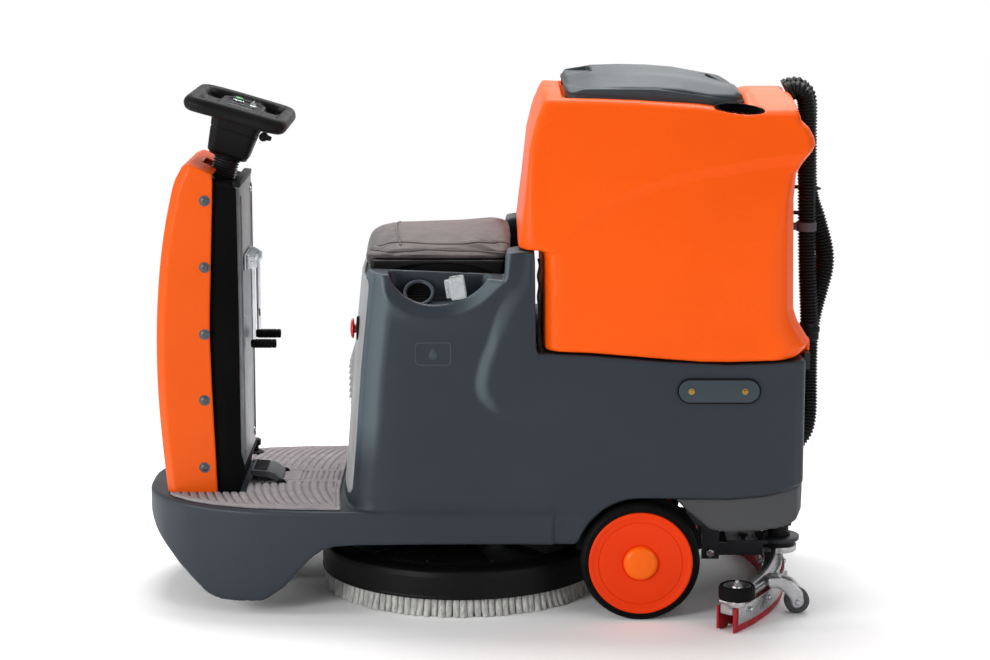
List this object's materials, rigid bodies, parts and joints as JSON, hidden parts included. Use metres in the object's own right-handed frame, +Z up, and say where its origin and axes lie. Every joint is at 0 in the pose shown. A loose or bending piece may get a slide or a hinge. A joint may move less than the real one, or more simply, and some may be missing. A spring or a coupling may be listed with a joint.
{
  "type": "ride-on floor scrubber",
  "caption": "Ride-on floor scrubber with tilting recovery tank, steered drive wheel, lifting disc brush, lifting squeegee, levers and cushioned seat.",
  "frame": {"origin": "on the floor under the centre of the machine's bounding box", "axes": "+X from the nose to the rear of the machine, +Y to the operator's right, +Z up"},
  "size_m": [1.3768, 0.812, 1.0485],
  "materials": {
    "slate_body": "rotomoulded slate-grey polyethylene, fine orange-peel grain",
    "tank_orange": "rotomoulded orange polyethylene, satin with soft mould texture",
    "cover_orange": "orange vacuum-formed cover, semi-gloss",
    "lid_grey": "grey moulded lid, satin",
    "skirt_grey": "dark grey moulded skirt, satin",
    "black_plastic": "black moulded plastic, fine grain",
    "mat_grey": "grey ribbed rubber mat, dusty in the grooves",
    "seat_vinyl": "worn brown-grey leatherette",
    "rubber_black": "black rubber",
    "tyre_black": "smooth black non-marking tyre",
    "hub_orange": "glossy orange wheel disc",
    "bristle_white": "white nylon bristles",
    "blade_red": "red polyurethane blade",
    "cast_alu": "cast aluminium, lightly brushed",
    "frame_steel": "black powder-coated steel",
    "bright_steel": "zinc-plated steel",
    "chrome_bar": "bright chrome",
    "clear_plastic": "clear moulded plastic",
    "red_button": "red gloss push button",
    "green_button": "green gloss push button",
    "panel_grey": "grey painted sheet",
    "grip_black": "black vinyl grip"
  },
  "bodies": {
    "chassis": {"main_body": "slate_body", "chassis_frame": "frame_steel", "floor_mat": "mat_grey", "column_front_cover": "cover_orange", "column_core": "black_plastic", "column_rear_panel": "panel_grey", "steering_boot": "rubber_black", "rear_skirt": "skirt_grey", "seat_box_panel": "slate_body", "cover_plate_left": "slate_body", "fill_port_strainer": "slate_body", "tray_clip_block": "clear_plastic", "battery_left": "black_plastic", "battery_right": "black_plastic", "motor_controller": "panel_grey", "vacuum_motor": "black_plastic", "rear_axle": "bright_steel", "lever_bracket": "chrome_bar", "vacuum_hose_lower": "rubber_black", "tank_hinge": "bright_steel"},
    "steering": {"steering_wheel": "black_plastic", "steering_head": "black_plastic"},
    "start_button": {"start_button": "green_button"},
    "direction_switch": {"direction_switch": "black_plastic"},
    "steer_fork": {"steer_fork": "frame_steel"},
    "drive_wheel": {"drive_wheel_tyre": "tyre_black", "drive_wheel_motor": "bright_steel"},
    "drive_pedal": {"drive_pedal": "grip_black"},
    "foot_button": {"foot_button": "rubber_black"},
    "squeegee_lever": {"squeegee_lever": "chrome_bar", "squeegee_lever_grip": "grip_black"},
    "brush_lever": {"brush_lever": "chrome_bar", "brush_lever_grip": "grip_black"},
    "emergency_stop": {"emergency_stop": "red_button"},
    "brush_lift_arm": {"brush_lift_arm": "frame_steel"},
    "brush_lift_link": {"brush_lift_link": "frame_steel"},
    "brush_deck": {"brush_deck": "black_plastic", "brush_gearmotor": "bright_steel"},
    "brush": {"brush_block": "black_plastic", "brush_bristles": "bristle_white"},
    "wheel_left": {"wheel_left_tyre": "tyre_black", "wheel_left_hub": "hub_orange"},
    "wheel_right": {"wheel_right_tyre": "tyre_black", "wheel_right_hub": "hub_orange"},
    "squeegee_arm": {"squeegee_arm": "frame_steel"},
    "squeegee": {"squeegee_body": "cast_alu", "squeegee_blade_rear": "blade_red", "squeegee_blade_front": "blade_red", "squeegee_port": "black_plastic"},
    "bumper_roller_left": {"bumper_roller_left": "rubber_black"},
    "bumper_roller_right": {"bumper_roller_right": "rubber_black"},
    "squeegee_caster_left": {"squeegee_caster_left": "rubber_black"},
    "squeegee_caster_right": {"squeegee_caster_right": "rubber_black"},
    "recovery_tank": {"recovery_tank": "tank_orange", "float_filter": "lid_grey", "drain_hose": "rubber_black", "vacuum_hose_upper": "rubber_black"},
    "tank_lid": {"tank_lid": "lid_grey"},
    "seat": {"seat_pan": "black_plastic", "seat_cushion": "seat_vinyl"}
  },
  "joints": [
    {"name": "steering_turn", "type": "hinge", "parent": "chassis", "child": "steering", "pos_m": [-0.496, 0, 0.967], "axis": [0.284, 0, 0.9588], "range_deg": [-120, 120]},
    {"name": "start_button_press", "type": "slide", "parent": "steering", "child": "start_button", "axis": [-0.284, 0, -0.9588], "range_m": [0, 0.003]},
    {"name": "direction_switch_rock", "type": "hinge", "parent": "steering", "child": "direction_switch", "pos_m": [-0.45289, 0, 0.90834], "axis": [0, 1, 0], "range_deg": [-12, 12]},
    {"name": "fork_steer", "type": "hinge", "parent": "chassis", "child": "steer_fork", "pos_m": [-0.545, 0, 0.2], "axis": [0, 0, 1], "range_deg": [-60, 60]},
    {"name": "drive_wheel_spin", "type": "hinge", "parent": "steer_fork", "child": "drive_wheel", "pos_m": [-0.545, 0, 0.095], "axis": [0, 1, 0], "continuous": true},
    {"name": "drive_pedal_press", "type": "hinge", "parent": "chassis", "child": "drive_pedal", "pos_m": [-0.4245, 0, 0.221], "axis": [0, -1, 0], "range_deg": [0, 12]},
    {"name": "foot_button_press", "type": "slide", "parent": "chassis", "child": "foot_button", "axis": [0, 0, -1], "range_m": [0, 0.006]},
    {"name": "squeegee_lever_raise", "type": "hinge", "parent": "chassis", "child": "squeegee_lever", "pos_m": [-0.474, -0.05, 0.664], "axis": [0, -1, 0], "range_deg": [0, 80]},
    {"name": "brush_lever_raise", "type": "hinge", "parent": "chassis", "child": "brush_lever", "pos_m": [-0.474, 0.06, 0.664], "axis": [0, -1, 0], "range_deg": [0, 80]},
    {"name": "emergency_stop_press", "type": "slide", "parent": "chassis", "child": "emergency_stop", "axis": [1, 0, 0], "range_m": [0, 0.004]},
    {"name": "brush_arm_lift", "type": "hinge", "parent": "chassis", "child": "brush_lift_arm", "pos_m": [0.14, 0, 0.165], "axis": [0, 1, 0], "range_deg": [0, 14]},
    {"name": "brush_link_lift", "type": "hinge", "parent": "chassis", "child": "brush_lift_link", "pos_m": [0.14, 0, 0.19], "axis": [0, 1, 0], "range_deg": [0, 14]},
    {"name": "brush_deck_level", "type": "hinge", "parent": "brush_lift_arm", "child": "brush_deck", "pos_m": [-0.04, 0, 0.12], "axis": [0, -1, 0], "range_deg": [0, 14]},
    {"name": "brush_spin", "type": "hinge", "parent": "brush_deck", "child": "brush", "pos_m": [-0.062, 0, 0.05], "axis": [0, 0, 1], "continuous": true},
    {"name": "wheel_left_spin", "type": "hinge", "parent": "chassis", "child": "wheel_left", "pos_m": [0.288, -0.272, 0.115], "axis": [0, 1, 0], "continuous": true},
    {"name": "wheel_right_spin", "type": "hinge", "parent": "chassis", "child": "wheel_right", "pos_m": [0.288, 0.272, 0.115], "axis": [0, 1, 0], "continuous": true},
    {"name": "squeegee_arm_lift", "type": "hinge", "parent": "chassis", "child": "squeegee_arm", "pos_m": [0.442, 0, 0.072], "axis": [0, -1, 0], "range_deg": [0, 16.8]},
    {"name": "squeegee_swivel", "type": "hinge", "parent": "squeegee_arm", "child": "squeegee", "pos_m": [0.583, 0, 0.08], "axis": [0, 0, 1], "range_deg": [-10, 10]},
    {"name": "bumper_left_spin", "type": "hinge", "parent": "squeegee", "child": "bumper_roller_left", "pos_m": [0.467, -0.371, 0.08], "axis": [0, 0, 1], "continuous": true},
    {"name": "bumper_right_spin", "type": "hinge", "parent": "squeegee", "child": "bumper_roller_right", "pos_m": [0.467, 0.371, 0.08], "axis": [0, 0, 1], "continuous": true},
    {"name": "caster_left_spin", "type": "hinge", "parent": "squeegee", "child": "squeegee_caster_left", "pos_m": [0.597, -0.24, 0.0255], "axis": [0, 1, 0], "continuous": true},
    {"name": "caster_right_spin", "type": "hinge", "parent": "squeegee", "child": "squeegee_caster_right", "pos_m": [0.597, 0.24, 0.0255], "axis": [0, 1, 0], "continuous": true},
    {"name": "tank_tilt", "type": "hinge", "parent": "chassis", "child": "recovery_tank", "pos_m": [0.612, 0, 0.508], "axis": [0, 1, 0], "range_deg": [0, 35]},
    {"name": "lid_open", "type": "hinge", "parent": "recovery_tank", "child": "tank_lid", "pos_m": [0.138, 0, 1.016], "axis": [0, -1, 0], "range_deg": [0, 75]},
    {"name": "seat_tilt", "type": "hinge", "parent": "chassis", "child": "seat", "pos_m": [-0.246, 0, 0.66], "axis": [0, -1, 0], "range_deg": [0, 58]}
  ],
  "couplings": [
    {"joint": "fork_steer", "follows": "steering_turn", "ratio": 0.5},
    {"joint": "brush_arm_lift", "follows": "brush_lever_raise", "ratio": 0.175},
    {"joint": "brush_link_lift", "follows": "brush_lever_raise", "ratio": 0.175},
    {"joint": "brush_deck_level", "follows": "brush_lever_raise", "ratio": 0.175},
    {"joint": "squeegee_arm_lift", "follows": "squeegee_lever_raise", "ratio": 0.21}
  ]
}
